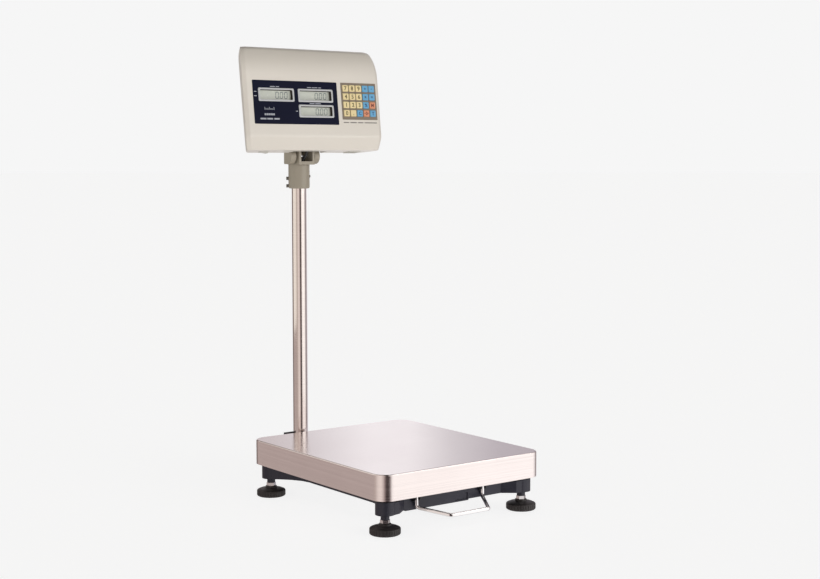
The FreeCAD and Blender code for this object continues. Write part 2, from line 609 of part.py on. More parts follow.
kp = rect(KEYPLATE, -0.2, 1.0)
KEYS = [["7", "8", "9", "f1", "f2"], ["4", "5", "6", "f3", "f4"], ["1", "2", "3", "f5", "f6"],
        ["0", "point", "clear", "zero", "tare"]]
for r in range(4):
    for c in range(5):
        kx = kx0 + 11.5 + c * KEY_PITCH_X
        kv = kv1 - 11.9 - r * KEY_PITCH_V
        kp = kp.cut(box(kx - KEY_W / 2 - 0.3, kx + KEY_W / 2 + 0.3, -3, 3, kv - KEY_H / 2 - 0.3, kv + KEY_H / 2 + 0.3))
        k = box(kx - KEY_W / 2, kx + KEY_W / 2, -1.7, 1.4, kv - KEY_H / 2, kv + KEY_H / 2)
        k = k.makeFillet(1.2, [e for e in k.Edges if abs(e.Vertexes[0].Y - e.Vertexes[1].Y) > 1e-6])
        k = k.makeChamfer(0.45, [e for e in k.Edges if all(abs(v.Y + 1.7) < 1e-6 for v in e.Vertexes)])
        flange = box(kx - 8.0, kx + 8.0, 1.35, 2.4, kv - 8.3, kv + 8.3)
        node("key_" + KEYS[r][c], place(k.fuse(flange)))
node("keypad_plate", place(kp))

board = fuse([box(-30, 128, 22.0, 23.6, 30, 118), box(0, 26, 23.6, 31.0, 60, 84), box(50, 86, 23.6, 26.6, 62, 98),
              box(-24, -8, 23.6, 34.0, 40, 60), rod(6, (104, 23.6, 50), (104, 40, 50)),
              box(10, 60, 23.6, 29.6, 34, 42)])
node("main_board", place(board))
batt = box(-111, -41, 13.5, 60.5, 34, 134)
batt = batt.makeFillet(3.0, [e for e in batt.Edges if abs(e.Vertexes[0].Z - e.Vertexes[1].Z) > 1e-6])
batt = fuse([batt, box(-104, -98, 20, 22, 133, 141), box(-54, -48, 20, 22, 133, 141)])
node("battery", place(batt))

inlet = fuse([box(INLET[0] - 15.0, INLET[0] + 15.0, INLET[1] - 11.6, INLET[1] + 11.6, V_LO - 1.6, V_LO),
              box(INLET[0] - 13.4, INLET[0] + 13.4, INLET[1] - 9.9, INLET[1] + 9.9, V_LO - 0.1, V_LO + 17)])
inlet = inlet.cut(box(INLET[0] - 11.4, INLET[0] + 11.4, INLET[1] - 8.0, INLET[1] + 8.0, V_LO - 3, V_LO + 12))
pins_i = [box(INLET[0] + a - 1.0, INLET[0] + a + 1.0, INLET[1] + b - 2.0, INLET[1] + b + 2.0, V_LO - 0.6, V_LO + 13)
          for a, b in ((-7.0, -1.5), (0.0, 3.0), (7.0, -1.5))]
node("power_inlet", place(inlet.multiFuse(pins_i)))

# rocker, at rest with its left end pressed in
SW_TILT = 7.0
rock = prism([(SWITCH[0] - 8.6, V_LO - 2.4), (SWITCH[0] - 4.0, V_LO - 1.9), (SWITCH[0] + 4.0, V_LO - 1.9),
              (SWITCH[0] + 8.6, V_LO - 2.4), (SWITCH[0] + 8.6, V_LO + 3.0), (SWITCH[0] + 3.5, V_LO + 8.0),
              (SWITCH[0] - 3.5, V_LO + 8.0), (SWITCH[0] - 8.6, V_LO + 3.0)], "y", SWITCH[1] - 5.7, SWITCH[1] + 5.7)
rock.rotate(V(SWITCH[0], SWITCH[1], V_LO + 3.0), V(0, 1, 0), SW_TILT)
node("power_switch", place(rock))

# ------------------------------------------------- shift, check and export
ALL = Part.makeCompound(list(NODES.values()))
bb = ALL.optimalBoundingBox(False)
SHIFT_X = -(bb.XMin + bb.XMax) / 2.0
SHIFT_Y = -(bb.YMin + bb.YMax) / 2.0
print("shift %.4f %.4f" % (SHIFT_X, SHIFT_Y))
print("size %.3f %.3f %.3f  zmin %.4f" % (bb.XMax - bb.XMin, bb.YMax - bb.YMin, bb.ZMax - bb.ZMin, bb.ZMin))
for name in sorted(NODES):
    s = NODES[name]
    s = s.copy()
    s.translate(V(SHIFT_X, SHIFT_Y, 0))
    NODES[name] = s
    if not s.isValid() or any(x.Volume <= 0 for x in s.Solids) or not s.Solids:
        print("CHECK", name, s.isValid(), [round(x.Volume, 2) for x in s.Solids])
    if len(s.Solids) == 1 and s.ShapeType != "Solid":
        s = s.Solids[0]
    s.exportStep("parts/%s.step" % name)
print("nodes", len(NODES))
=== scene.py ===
import json
import math

import bmesh
import bpy
from mathutils import Matrix, Vector


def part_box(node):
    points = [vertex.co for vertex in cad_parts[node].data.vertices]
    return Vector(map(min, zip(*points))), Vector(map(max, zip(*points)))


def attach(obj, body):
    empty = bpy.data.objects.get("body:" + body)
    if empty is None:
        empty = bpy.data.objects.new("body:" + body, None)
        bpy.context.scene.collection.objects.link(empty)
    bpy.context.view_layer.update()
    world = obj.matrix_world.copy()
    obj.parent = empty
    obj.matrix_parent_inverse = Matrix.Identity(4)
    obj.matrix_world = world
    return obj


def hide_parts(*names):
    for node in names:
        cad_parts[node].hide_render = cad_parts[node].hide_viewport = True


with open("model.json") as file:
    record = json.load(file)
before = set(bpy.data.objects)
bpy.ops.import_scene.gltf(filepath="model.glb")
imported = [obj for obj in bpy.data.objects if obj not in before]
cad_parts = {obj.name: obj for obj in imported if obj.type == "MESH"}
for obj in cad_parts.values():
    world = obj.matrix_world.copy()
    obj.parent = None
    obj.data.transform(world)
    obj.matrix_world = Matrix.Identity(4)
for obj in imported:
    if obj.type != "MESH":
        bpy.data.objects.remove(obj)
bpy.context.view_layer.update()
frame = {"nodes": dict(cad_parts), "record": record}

nodes = frame["nodes"]

# ------------------------------------------------------------------ frame
# The pan's middle is the working origin, in millimetres.
pan_lo, pan_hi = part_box("pan")
SX = (pan_lo.x + pan_hi.x) / 2 * 1000
SY = (pan_lo.y + pan_hi.y) / 2 * 1000
POLE = (-57.0, 264.0)
TILT = math.radians(7.0)
CT, ST = math.cos(TILT), math.sin(TILT)


def P(x, y, z):
    return Vector(((x + SX) / 1000, (y + SY) / 1000, z / 1000))


def H(x, d, v):
    """Head frame (sideways, back from the face, up the face) to the row frame."""
    return P(POLE[0] + x, POLE[1] - 72.0 + d * CT + v * ST, 753.0 - d * ST + v * CT)


# -------------------------------------------------------------- materials
def new_mat(name):
    m = bpy.data.materials.new(name)
    m.use_nodes = True
    nt = m.node_tree
    return m, nt, nt.nodes["Principled BSDF"]


def coords(nt, scale=(1, 1, 1)):
    tc = nt.nodes.new("ShaderNodeTexCoord")
    mp = nt.nodes.new("ShaderNodeMapping")
    mp.inputs["Scale"].default_value = scale
    nt.links.new(tc.outputs["Object"], mp.inputs["Vector"])
    return mp.outputs["Vector"]


def noise(nt, vec, scale, detail=4.0, rough=0.55):
    n = nt.nodes.new("ShaderNodeTexNoise")
    n.inputs["Scale"].default_value = scale
    n.inputs["Detail"].default_value = detail
    n.inputs["Roughness"].default_value = rough
    nt.links.new(vec, n.inputs["Vector"])
    return n.outputs["Fac"]


def ramp(nt, fac, stops):
    r = nt.nodes.new("ShaderNodeValToRGB")
    e = r.color_ramp.elements
    while len(e) < len(stops):
        e.new(0.5)
    for i, (p, c) in enumerate(stops):
        e[i].position = p
        e[i].color = c if len(c) == 4 else (*c, 1)
    nt.links.new(fac, r.inputs["Fac"])
    return r.outputs["Color"]


def grey(a, b, fac, nt, lo=0.35, hi=0.65):
    return ramp(nt, fac, [(lo, (a, a, a)), (hi, (b, b, b))])


def mix(nt, fac, a, b, mode="MIX"):
    m = nt.nodes.new("ShaderNodeMix")
    m.data_type = "RGBA"
    m.blend_type = mode
    for sock, val in ((m.inputs[0], fac), (m.inputs[6], a), (m.inputs[7], b)):
        if hasattr(val, "links"):
            nt.links.new(val, sock)
        elif isinstance(val, (int, float)):
            sock.default_value = val
        else:
            sock.default_value = (*val, 1) if len(val) == 3 else val
    return m.outputs[2]


def math_node(nt, op, a, b=None):
    m = nt.nodes.new("ShaderNodeMath")
    m.operation = op
    for sock, val in ((m.inputs[0], a), (m.inputs[1], b)):
        if val is None:
            continue
        if hasattr(val, "links"):
            nt.links.new(val, sock)
        else:
            sock.default_value = val
    return m.outputs[0]


def bump(nt, bsdf, height, strength, distance, round_edges=0.0):
    b = nt.nodes.new("ShaderNodeBump")
    b.inputs["Strength"].default_value = strength
    b.inputs["Distance"].default_value = distance
    nt.links.new(height, b.inputs["Height"])
    if round_edges:
        e = nt.nodes.new("ShaderNodeBevel")
        e.samples = 4
        e.inputs["Radius"].default_value = round_edges
        nt.links.new(e.outputs["Normal"], b.inputs["Normal"])
    nt.links.new(b.outputs["Normal"], bsdf.inputs["Normal"])


def plain(name, color, vary=0.08, rough=(0.4, 0.5), metal=0.0, grain=900.0, grain_depth=0.00004, grain_strength=0.35,
          coat=0.0, coat_rough=0.2, spec=0.5, round_edges=0.0, blotch=9.0, anis=0.0):
    """Moulded, painted or plated finish with colour drift, uneven gloss and a fine surface grain."""
    m, nt, b = new_mat(name)
    vec = coords(nt)
    big = noise(nt, vec, blotch, 5.0)
    fine = noise(nt, vec, grain, 3.0)
    dark = tuple(c * (1 - vary) for c in color)
    light = tuple(min(1.0, c * (1 + vary)) for c in color)
    nt.links.new(ramp(nt, big, [(0.3, dark), (0.7, light)]), b.inputs["Base Color"])
    nt.links.new(grey(rough[0], rough[1], noise(nt, vec, blotch * 4, 6.0), nt, 0.3, 0.7), b.inputs["Roughness"])
    b.inputs["Metallic"].default_value = metal
    b.inputs["Specular IOR Level"].default_value = spec
    b.inputs["Coat Weight"].default_value = coat
    b.inputs["Coat Roughness"].default_value = coat_rough
    b.inputs["Anisotropic"].default_value = anis
    bump(nt, b, fine, grain_strength, grain_depth, round_edges)
    return m


def brushed(name, color, rough=(0.22, 0.34), across=900.0, top_axis="x", depth=0.00002, strength=0.25):
    """Brushed stainless: lines level along the upright walls, and along one axis on the flat top."""
    m, nt, b = new_mat(name)
    wall = noise(nt, coords(nt, (0.9, 0.9, across)), 1.0, 2.0, 0.6)
    flat = noise(nt, coords(nt, (0.9, across, 0.9) if top_axis == "x" else (across, 0.9, 0.9)), 1.0, 2.0, 0.6)
    geo = nt.nodes.new("ShaderNodeNewGeometry")
    sep = nt.nodes.new("ShaderNodeSeparateXYZ")
    nt.links.new(geo.outputs["Normal"], sep.inputs[0])
    up = math_node(nt, "ABSOLUTE", sep.outputs["Z"])
    up = ramp(nt, up, [(0.45, (0, 0, 0)), (0.75, (1, 1, 1))])
    lines = mix(nt, up, wall, flat)
    cloud = noise(nt, coords(nt), 5.0, 4.0)
    tone = ramp(nt, lines, [(0.3, tuple(c * 0.90 for c in color)), (0.7, color)])
    tone = mix(nt, 1.0, tone, ramp(nt, cloud, [(0.3, (0.95, 0.94, 0.94)), (0.7, (1.0, 1.0, 1.0))]), "MULTIPLY")
    nt.links.new(tone, b.inputs["Base Color"])
    nt.links.new(grey(rough[0], rough[1], lines, nt), b.inputs["Roughness"])
    b.inputs["Metallic"].default_value = 1.0
    bump(nt, b, lines, strength, depth)
    return m


MAT = {
    "frame_paint": plain("casting_enamel", (0.018, 0.018, 0.031), 0.25, (0.34, 0.5), grain=260.0, grain_depth=0.00012,
                         grain_strength=0.5, round_edges=0.0012, spec=0.4),
    "arm_paint": plain("arm_enamel", (0.014, 0.014, 0.016), 0.2, (0.35, 0.5), grain=300.0, grain_depth=0.0001,
                       round_edges=0.001),
    "foot_plastic": plain("foot_moulding", (0.020, 0.016, 0.016), 0.25, (0.38, 0.55), grain=700.0, grain_depth=0.00006,
                          round_edges=0.0004),
    "zinc_steel": plain("zinc_plate", (0.74, 0.74, 0.75), 0.06, (0.16, 0.30), metal=1.0, grain=500.0, grain_depth=0.00002),
    "cell_aluminium": plain("cell_aluminium_mat", (0.72, 0.73, 0.75), 0.05, (0.25, 0.4), metal=1.0),
    "black_paint": plain("black_powder", (0.016, 0.016, 0.019), 0.2, (0.42, 0.58), grain=1200.0, grain_depth=0.00005,
                         round_edges=0.0006),
    "rubber_pads": plain("pad_rubber", (0.02, 0.02, 0.02), 0.2, (0.7, 0.85)),
    "pan_steel": brushed("pan_brushed", (0.88, 0.82, 0.81), (0.15, 0.25), 700.0, depth=0.000012, strength=0.10),
    "pole_steel": brushed("pole_brushed", (0.86, 0.80, 0.77), (0.10, 0.17), 1500.0, depth=0.00001, strength=0.12),
    "chrome_wire": plain("chrome_wire_mat", (0.86, 0.86, 0.87), 0.03, (0.05, 0.13), metal=1.0, grain=400.0,
                         grain_depth=0.00001, grain_strength=0.15),
    "vial_glass": plain("vial_liquid", (0.55, 0.75, 0.15), 0.1, (0.05, 0.1)),
    "neck_plastic": plain("neck_moulding", (0.325, 0.285, 0.22), 0.07, (0.38, 0.5), grain=1300.0, grain_depth=0.00004,
                          round_edges=0.0008),
    "screw_black": plain("dull_oxide", (0.13, 0.12, 0.10), 0.2, (0.38, 0.5), metal=0.4, round_edges=0.0003),
    "cable_jacket": plain("cable_pvc", (0.05, 0.05, 0.052), 0.15, (0.45, 0.6)),
    "head_ivory": plain("ivory_shell", (0.75, 0.695, 0.615), 0.02, (0.34, 0.42), grain=1700.0, grain_depth=0.00003,
                        grain_strength=0.25, coat=0.3, coat_rough=0.14),
    "head_rear_ivory": plain("ivory_rear", (0.70, 0.66, 0.595), 0.02, (0.38, 0.48), grain=1700.0, grain_depth=0.00003,
                             grain_strength=0.25, round_edges=0.0008),
    "panel_navy": plain("navy_overlay", (0.0075, 0.009, 0.026), 0.12, (0.42, 0.5), grain=2200.0, grain_depth=0.00001,
                        spec=0.05),
    "bezel_grey": plain("bezel_moulding", (0.55, 0.555, 0.56), 0.03, (0.34, 0.44), grain=1600.0),
    "lcd_glass": plain("lcd_face", (0.60, 0.625, 0.545), 0.06, (0.22, 0.3), grain=300.0, grain_depth=0.000004, blotch=22.0,
                       coat=0.5, coat_rough=0.08),
    "keypad_brown": plain("keypad_overlay", (0.21, 0.165, 0.115), 0.06, (0.4, 0.5), grain=2000.0),
    "board_green": plain("board_mask", (0.02, 0.12, 0.04), 0.1, (0.3, 0.4)),
    "battery_black": plain("battery_case", (0.03, 0.03, 0.035), 0.1, (0.45, 0.6)),
    "black_plastic": plain("black_moulding", (0.02, 0.02, 0.02), 0.15, (0.3, 0.42), grain=1500.0),
    "fitting_grey": plain("fitting_moulding", (0.55, 0.53, 0.47), 0.03, (0.34, 0.44), grain=1500.0),
    "key_yellow": plain("key_yellow_mat", (0.86, 0.70, 0.36), 0.03, (0.38, 0.48), grain=1800.0),
    "key_blue": plain("key_blue_mat", (0.12, 0.40, 0.66), 0.04, (0.38, 0.48), grain=1800.0),
    "key_orange": plain("key_orange_mat", (0.76, 0.29, 0.15), 0.04, (0.38, 0.48), grain=1800.0),
}
EXTRA = {
    # dark inner walls of the display recesses: the holder's own dark colour, darkened further as painted shade of the
    # recess and painted shadow under each window's top wall
    "bezel_inner": plain("bezel_inner", (0.045, 0.035, 0.03), 0.1, (0.5, 0.6), spec=0.2),
    "lcd_ink": plain("lcd_ink", (0.10, 0.135, 0.14), 0.1, (0.3, 0.4)),
    "pale_ink": plain("pale_ink", (0.42, 0.44, 0.49), 0.05, (0.4, 0.5)),
    "dark_ink": plain("dark_ink", (0.10, 0.075, 0.05), 0.05, (0.4, 0.5)),
    "ink_yellow": plain("ink_yellow", (0.12, 0.09, 0.02), 0.05, (0.4, 0.5)),
    "ink_blue": plain("ink_blue", (0.005, 0.04, 0.15), 0.05, (0.4, 0.5)),
    "ink_orange": plain("ink_orange", (0.16, 0.015, 0.005), 0.05, (0.4, 0.5)),
    "grey_ink": plain("grey_ink", (0.16, 0.145, 0.13), 0.05, (0.4, 0.5)),
}

slot_of = {s["node"]: s["material_slot"] for s in frame["record"]["subparts"]}
for name, o in nodes.items():
    m = MAT[slot_of[name]]
    if not o.data.materials:
        o.data.materials.append(m)
    for s in o.material_slots:
        s.material = m


# ------------------------------------------------------------ mesh helpers
def finish_mesh(name, bm, mats, sharp=math.radians(32)):
    bmesh.ops.recalc_face_normals(bm, faces=bm.faces[:])
    for f in bm.faces:
        f.smooth = True
    for e in bm.edges:
        e.smooth = not (len(e.link_faces) == 2 and e.calc_face_angle(0.0) > sharp)
    me = bpy.data.meshes.new(name)
    bm.to_mesh(me)
    bm.free()
    o = bpy.data.objects.new(name, me)
    bpy.context.scene.collection.objects.link(o)
    for m in mats:
        me.materials.append(m)
    return o


def loft(bm, rings, cap_a=True, cap_b=True, close=True, mat=0):
    """Skins a stack of rings of equal length."""
    vs = [[bm.verts.new(p) for p in r] for r in rings]
    n = len(vs[0])
    for a, b in zip(vs, vs[1:]):
        for i in range(n if close else n - 1):
            j = (i + 1) % n
            bm.faces.new((a[i], a[j], b[j], b[i])).material_index = mat
    if cap_a:
        bm.faces.new(vs[0][::-1]).material_index = mat
    if cap_b:
        bm.faces.new(vs[-1]).material_index = mat
    return vs


def rrect(x0, x1, v0, v1, r, n=6):
    """Rounded rectangle, as points (x, v)."""
    pts = []
    r = max(0.01, min(r, (x1 - x0) / 2 - 0.01, (v1 - v0) / 2 - 0.01))
    for cx, cv, a0 in ((x1 - r, v1 - r, 0), (x0 + r, v1 - r, 90), (x0 + r, v0 + r, 180), (x1 - r, v0 + r, 270)):
        for i in range(n + 1):
            a = math.radians(a0 + 90.0 * i / n)
            pts.append((cx + r * math.cos(a), cv + r * math.sin(a)))
    return pts


def lathe(bm, profile, cx, cy, n=48, mat=0):
    """Closed turned solid; profile is (radius, z) from the bottom's axis to the top's axis."""
    rings = []
    for r, z in profile:
        rings.append([P(cx + max(r, 0.001) * math.cos(2 * math.pi * i / n), cy + max(r, 0.001) * math.sin(2 * math.pi * i / n), z)
                      for i in range(n)])
    loft(bm, rings, mat=mat)


def slab(bm, pts, d0, d1, mat=0):
    """Thin plate on the head's face from an outline (x, v)."""
    loft(bm, [[H(x, d0, v) for x, v in pts], [H(x, d1, v) for x, v in pts]], mat=mat)


# ------------------------------------------------------ head front shell
HEAD_HW, WALL = 170.5, 2.5
V_LO, V_HI = -27.6, 188.3
TAN = math.tan(math.radians(28.0))
LIP = 0.30
_sn = 51.5 / 118.0                      # sine of the front's slope where the top rounding starts
TOP_R = (V_HI - 179.5) / (1.0 - _sn)
TOP_D = 118.0 - math.sqrt(118.0 ** 2 - 51.5 ** 2) + TOP_R * math.sqrt(1.0 - _sn ** 2)


def d_front(v):
    if v < -25.5:
        return LIP * 25.5 + 4.0 * (1.0 - math.sqrt(max(0.0, 1.0 - ((-25.5 - v) / 2.1) ** 2)))
    if v < -6.0:
        return LIP * -v
    if v < 6.0:
        return LIP * (6.0 - v) ** 2 / 24.0
    if v < 128.0:
        return 0.0
    if v < 179.5:
        return 118.0 - math.sqrt(118.0 ** 2 - (v - 128.0) ** 2)
    return TOP_D - math.sqrt(max(0.0, TOP_R ** 2 - (v - V_HI + TOP_R) ** 2))


def t_side(v):
    if v > 165.0:
        s = (v - 165.0) / 23.3
        return 4.0 * (1.0 - math.sqrt(max(0.0, 1.0 - s * s)))
    if v < -12.0:
        s = (-12.0 - v) / 15.6
        return 1.5 * (1.0 - math.sqrt(max(0.0, 1.0 - s * s)))
    return 0.0


def half(d):
    return HEAD_HW - (d - 5.0) * TAN


def d_part(v):
    return 21.0 + 10.0 * (v - V_LO) / (V_HI - V_LO)


def corner(a, b, c, r, n=3):
    """Rounds the corner at b with a quadratic arc that starts r before it."""
    va, vc = (a[0] - b[0], a[1] - b[1]), (c[0] - b[0], c[1] - b[1])
    la, lc = math.hypot(*va), math.hypot(*vc)
    ra, rc = min(r, la * 0.45), min(r, lc * 0.45)
    p0 = (b[0] + va[0] / la * ra, b[1] + va[1] / la * ra)
    p2 = (b[0] + vc[0] / lc * rc, b[1] + vc[1] / lc * rc)
    out = []
    for i in range(n + 1):
        t = i / n
        out.append(tuple((1 - t) ** 2 * p0[k] + 2 * t * (1 - t) * b[k] + t * t * p2[k] for k in (0, 1)))
    return out


def chain(v, vo, inset):
    """Right half of the front shell's section, from its middle to the parting plane, as (x, d)."""
    k = inset / WALL
    f, ts, dp = d_front(vo), t_side(vo), d_part(v)
    a = (half(f + 5.0) - ts - 8.0 - 1.6 * k, f + inset)
    b = (half(f + 5.0) - ts - 3.0 * k, f + 5.0 + 1.0 * k)
    if dp - b[1] < 1.5:
        t = (dp - 1.5 - a[1]) / (b[1] - a[1])
        t = max(0.25, min(1.0, t))
        b = (a[0] + (b[0] - a[0]) * t, a[1] + (b[1] - a[1]) * t)
        end = (b[0] + 0.6, dp)
    else:
        end = (half(dp) - ts - 3.0 * k, dp)
    mid = (a[0] * 0.5, a[1])
    pts = [(0.0, a[1]), mid] + corner(mid, a, b, 2.2, 4) + corner(a, b, end, 2.0, 4)
    if inset == 0:
        pts += [(end[0] + (pts[-1][0] - end[0]) * 0.02, dp - 0.7), (end[0] - 0.55, dp)]
    else:
        pts += [(end[0], dp - 0.7), end]
    return pts


def row(v, vo, inset):
    c = chain(v, vo, inset)
    return [H(-x, d, v) for x, d in reversed(c[1:])] + [H(x, d, v) for x, d in c]


def spread(a, b, n):
    return [a + (b - a) * i / n for i in range(n)]


vs_out = []
for i in range(10):
    vs_out.append(V_LO + 2.1 * (1 - math.cos(math.pi / 2 * i / 10)) )
vs_out += spread(-25.5, -6.0, 5) + spread(-6.0, 6.0, 10) + spread(6.0, 128.0, 4) + spread(128.0, 179.5, 26)
for i in range(17):
    vs_out.append(179.5 + (V_HI - 179.5) * math.sin(math.pi / 2 * i / 16))
bm = bmesh.new()
outer_rows, inner_rows = [], []
for v in vs_out:
    if v > 150.0:
        vi = v - WALL * (v - 150.0) / (V_HI - 150.0)
    elif v < 0:
        vi = v + WALL * (-v) / 27.6
    else:
        vi = v
    outer_rows.append([bm.verts.new(p) for p in row(v, v, 0.0)])
    inner_rows.append([bm.verts.new(p) for p in row(vi, v, WALL)])
n = len(outer_rows[0])
for k in range(len(vs_out) - 1):
    a, b, c, d = outer_rows[k], outer_rows[k + 1], inner_rows[k], inner_rows[k + 1]
    for i in range(n - 1):
        bm.faces.new((a[i], a[i + 1], b[i + 1], b[i]))
        bm.faces.new((c[i + 1], c[i], d[i], d[i + 1]))
    bm.faces.new((a[0], b[0], d[0], c[0]))
    bm.faces.new((b[-1], a[-1], c[-1], d[-1]))
for k in (0, -1):
    bm.faces.new(outer_rows[k])
    bm.faces.new(inner_rows[k][::-1])
    bm.faces.new((outer_rows[k][0], inner_rows[k][0], inner_rows[k][-1], outer_rows[k][-1]))
front = finish_mesh("ivory_front_shell", bm, [MAT["head_ivory"]])

PANEL = (-150.2, 58.1, 25.4, 115.7)
KEYPLATE = (68.0, 159.1, 37.0, 115.7)
WINDOWS = ((-137.3, -50.5, 72.2, 100.1), (-40.9, 46.5, 72.2, 100.1), (-40.9, 46.5, 39.9, 66.9))


def cutter(name, boxes):
    b = bmesh.new()
    for x0, x1, v0, v1, d0, d1, r in boxes:
        pts = rrect(x0, x1, v0, v1, r, 4)
        slab(b, pts, d0, d1)
    return finish_mesh(name, b, [])


def cut_with(obj, cut):
    m = obj.modifiers.new("cut", "BOOLEAN")
    m.operation, m.object, m.solver = "DIFFERENCE", cut, "EXACT"
    dg = bpy.context.evaluated_depsgraph_get()
    me = bpy.data.meshes.new_from_object(obj.evaluated_get(dg))
    obj.modifiers.clear()
    old = obj.data
    obj.data = me
    me.name = obj.name
    bpy.data.meshes.remove(old)
    cm = cut.data
    bpy.data.objects.remove(cut)
    bpy.data.meshes.remove(cm)
    b = bmesh.new()
    b.from_mesh(me)
    bmesh.ops.remove_doubles(b, verts=b.verts[:], dist=2e-6)
    bmesh.ops.dissolve_degenerate(b, edges=b.edges[:], dist=1e-7)
    for f in b.faces:
        f.smooth = True
    for e in b.edges:
        e.smooth = not (len(e.link_faces) == 2 and e.calc_face_angle(0.0) > math.radians(30))
    b.to_mesh(me)
    b.free()


cut_with(front, cutter("c1", [(PANEL[0] - .15, PANEL[1] + .15, PANEL[2] - .15, PANEL[3] + .15, -3, 0.8, 2.0),
                              (KEYPLATE[0] - .15, KEYPLATE[1] + .15, KEYPLATE[2] - .15, KEYPLATE[3] + .15, -3, 1.0, 2.0)]))
cut_with(front, cutter("c2", [(w[0] - .1, w[1] + .1, w[2] - .1, w[3] + .1, -2, 12.0, 3.0) for w in WINDOWS] +
                       [(KEYPLATE[0] + 2.6, KEYPLATE[1] - 2.6, KEYPLATE[3] - 74.6, KEYPLATE[3] - 3.0, -2, 12.0, 1.5)]))
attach(front, "head")
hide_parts("head_front_shell")

# ------------------------------------------------ display overlay and bezels
bm = bmesh.new()


def plate_with_holes(bm, outer, holes, d0, d1, r):
    """Flat overlay with a softened edge; the windows are cut afterwards."""
    rings = [[H(x, d1, v) for x, v in rrect(*outer, r, 5)],
             [H(x, d0 + 0.1, v) for x, v in rrect(*outer, r, 5)]]
    x0, x1, v0, v1 = outer
    rings.append([H(x, d0, v) for x, v in rrect(x0 + .12, x1 - .12, v0 + .12, v1 - .12, r, 5)])
    loft(bm, rings)


plate_with_holes(bm, PANEL, WINDOWS, -0.2, 0.8, 2.0)
overlay = finish_mesh("display_overlay", bm, [MAT["panel_navy"]])
cut_with(overlay, cutter("c3", [(w[0] - .05, w[1] + .05, w[2] - .05, w[3] + .05, -2, 2, 3.0) for w in WINDOWS]))
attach(overlay, "head")
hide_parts("display_panel")

bm = bmesh.new()
for x0, x1, v0, v1 in WINDOWS:
    prof = [(0.0, 6.8, 3.0), (0.0, -0.6, 3.0), (0.35, -1.2, 3.6), (0.9, -1.48, 3.8), (3.2, -1.5, 2.8), (3.9, -1.25, 2.3),
            (4.15, -0.8, 2.0), (4.35, 0.2, 1.7), (4.6, 5.8, 1.2), (4.7, 6.8, 1.2)]
    rings = []
    for o_, d, r in prof:
        ov = o_ * 4.3 / 4.7
        rings.append([H(x, d, v) for x, v in rrect(x0 + o_, x1 - o_, v0 + ov, v1 - ov, r, 5)])
    rings.append(rings[0])
    n = len(rings[0])
    vs = [[bm.verts.new(p) for p in r] for r in rings[:-1]]
    vs.append(vs[0])
    for k, (a, b) in enumerate(zip(vs, vs[1:])):
        for i in range(n):
            j = (i + 1) % n
            # the recess walls (rings 6 to 8) take the dark holder colour with painted shade of the recess
            bm.faces.new((a[i], a[j], b[j], b[i])).material_index = 1 if k in (6, 7, 8) else 0
bezels = finish_mesh("window_bezels", bm, [MAT["bezel_grey"], EXTRA["bezel_inner"]], math.radians(40))
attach(bezels, "head")
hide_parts("lcd_bezels")

# ------------------------------------------------------ display characters
SEG = {"0": "abcdef", "1": "bc", "2": "abged", "3": "abgcd", "4": "fgbc", "5": "afgcd", "6": "afgedc", "7": "abc", "8": "abcdefg",
       "9": "abcdfg"}


def seven(bm, ch, x, v, w, h, t, d0, d1):
    """One seven-segment character with its lower left corner at (x, v)."""
    g, lean = t * 0.12, 0.09
    m = h / 2

    def put(pts):
        slab(bm, [(px + (pv - v) * lean, pv) for px, pv in pts], d0, d1)

    def hor(cv, lo):
        a, b = x + t * 0.5 + g, x + w - t * 0.5 - g
        put([(a, cv), (a + t / 2, cv - t / 2), (b - t / 2, cv - t / 2), (b, cv), (b - t / 2, cv + t / 2), (a + t / 2, cv + t / 2)])

    def ver(cx, va, vb):
        a, b = va + g, vb - g
        put([(cx, a), (cx + t / 2, a + t / 2), (cx + t / 2, b - t / 2), (cx, b), (cx - t / 2, b - t / 2), (cx - t / 2, a + t / 2)])

    s = SEG[ch]
    top, mid, bot = v + h - t / 2, v + m, v + t / 2
    if "a" in s: hor(top, 0)
    if "g" in s: hor(mid, 0)
    if "d" in s: hor(bot, 0)
    if "f" in s: ver(x + t / 2, mid, top)
    if "b" in s: ver(x + w - t / 2, mid, top)
    if "e" in s: ver(x + t / 2, bot, mid)
    if "c" in s: ver(x + w - t / 2, bot, mid)


bm = bmesh.new()
for w in WINDOWS:
    x1, v0, v1 = w[1] - 4.8, w[2] + 4.4, w[3] - 4.4
    h = 14.2
    vb = (v0 + v1) / 2 - h / 2
    for i, ch in enumerate("000"):
        seven(bm, ch, x1 - 9.2 - 10.7 * i - 6.5, vb, 7.8, h, 1.35, 6.72, 6.81)
    cx, cv = x1 - 9.2 - 10.7 - 6.5 - 1.7, vb + 0.1
    slab(bm, rrect(cx - 0.75, cx + 0.75, cv, cv + 1.5, 0.5, 3), 6.72, 6.81)
digits = finish_mesh("display_digits", bm, [EXTRA["lcd_ink"]])
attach(digits, "head")

# marks printed on the overlay: plain bars, ticks and blocks
bm = bmesh.new()


def bar(x0, x1, v0, v1, r=0.25, d=-0.26):
    slab(bm, rrect(x0, x1, v0, v1, r, 2), d, -0.15)


for w, parts in ((WINDOWS[0], ((-14, -2), (0, 8))), (WINDOWS[1], ((-20, -10), (-8, 6), (8, 15))), (WINDOWS[2], ((-16, -4), (-2, 12)))):
    cx, v = (w[0] + w[1]) / 2, w[3] + 2.1
    if w is WINDOWS[2]:
        v = w[3] + 1.6
    for a, b in parts:
        bar(cx + a, cx + b, v, v + 1.5)
for vv in (82.0, 91.0):
    bar(-147.2, -141.5, vv, vv + 1.6)
bar(-48.6, -43.6, 52.0, 53.6)
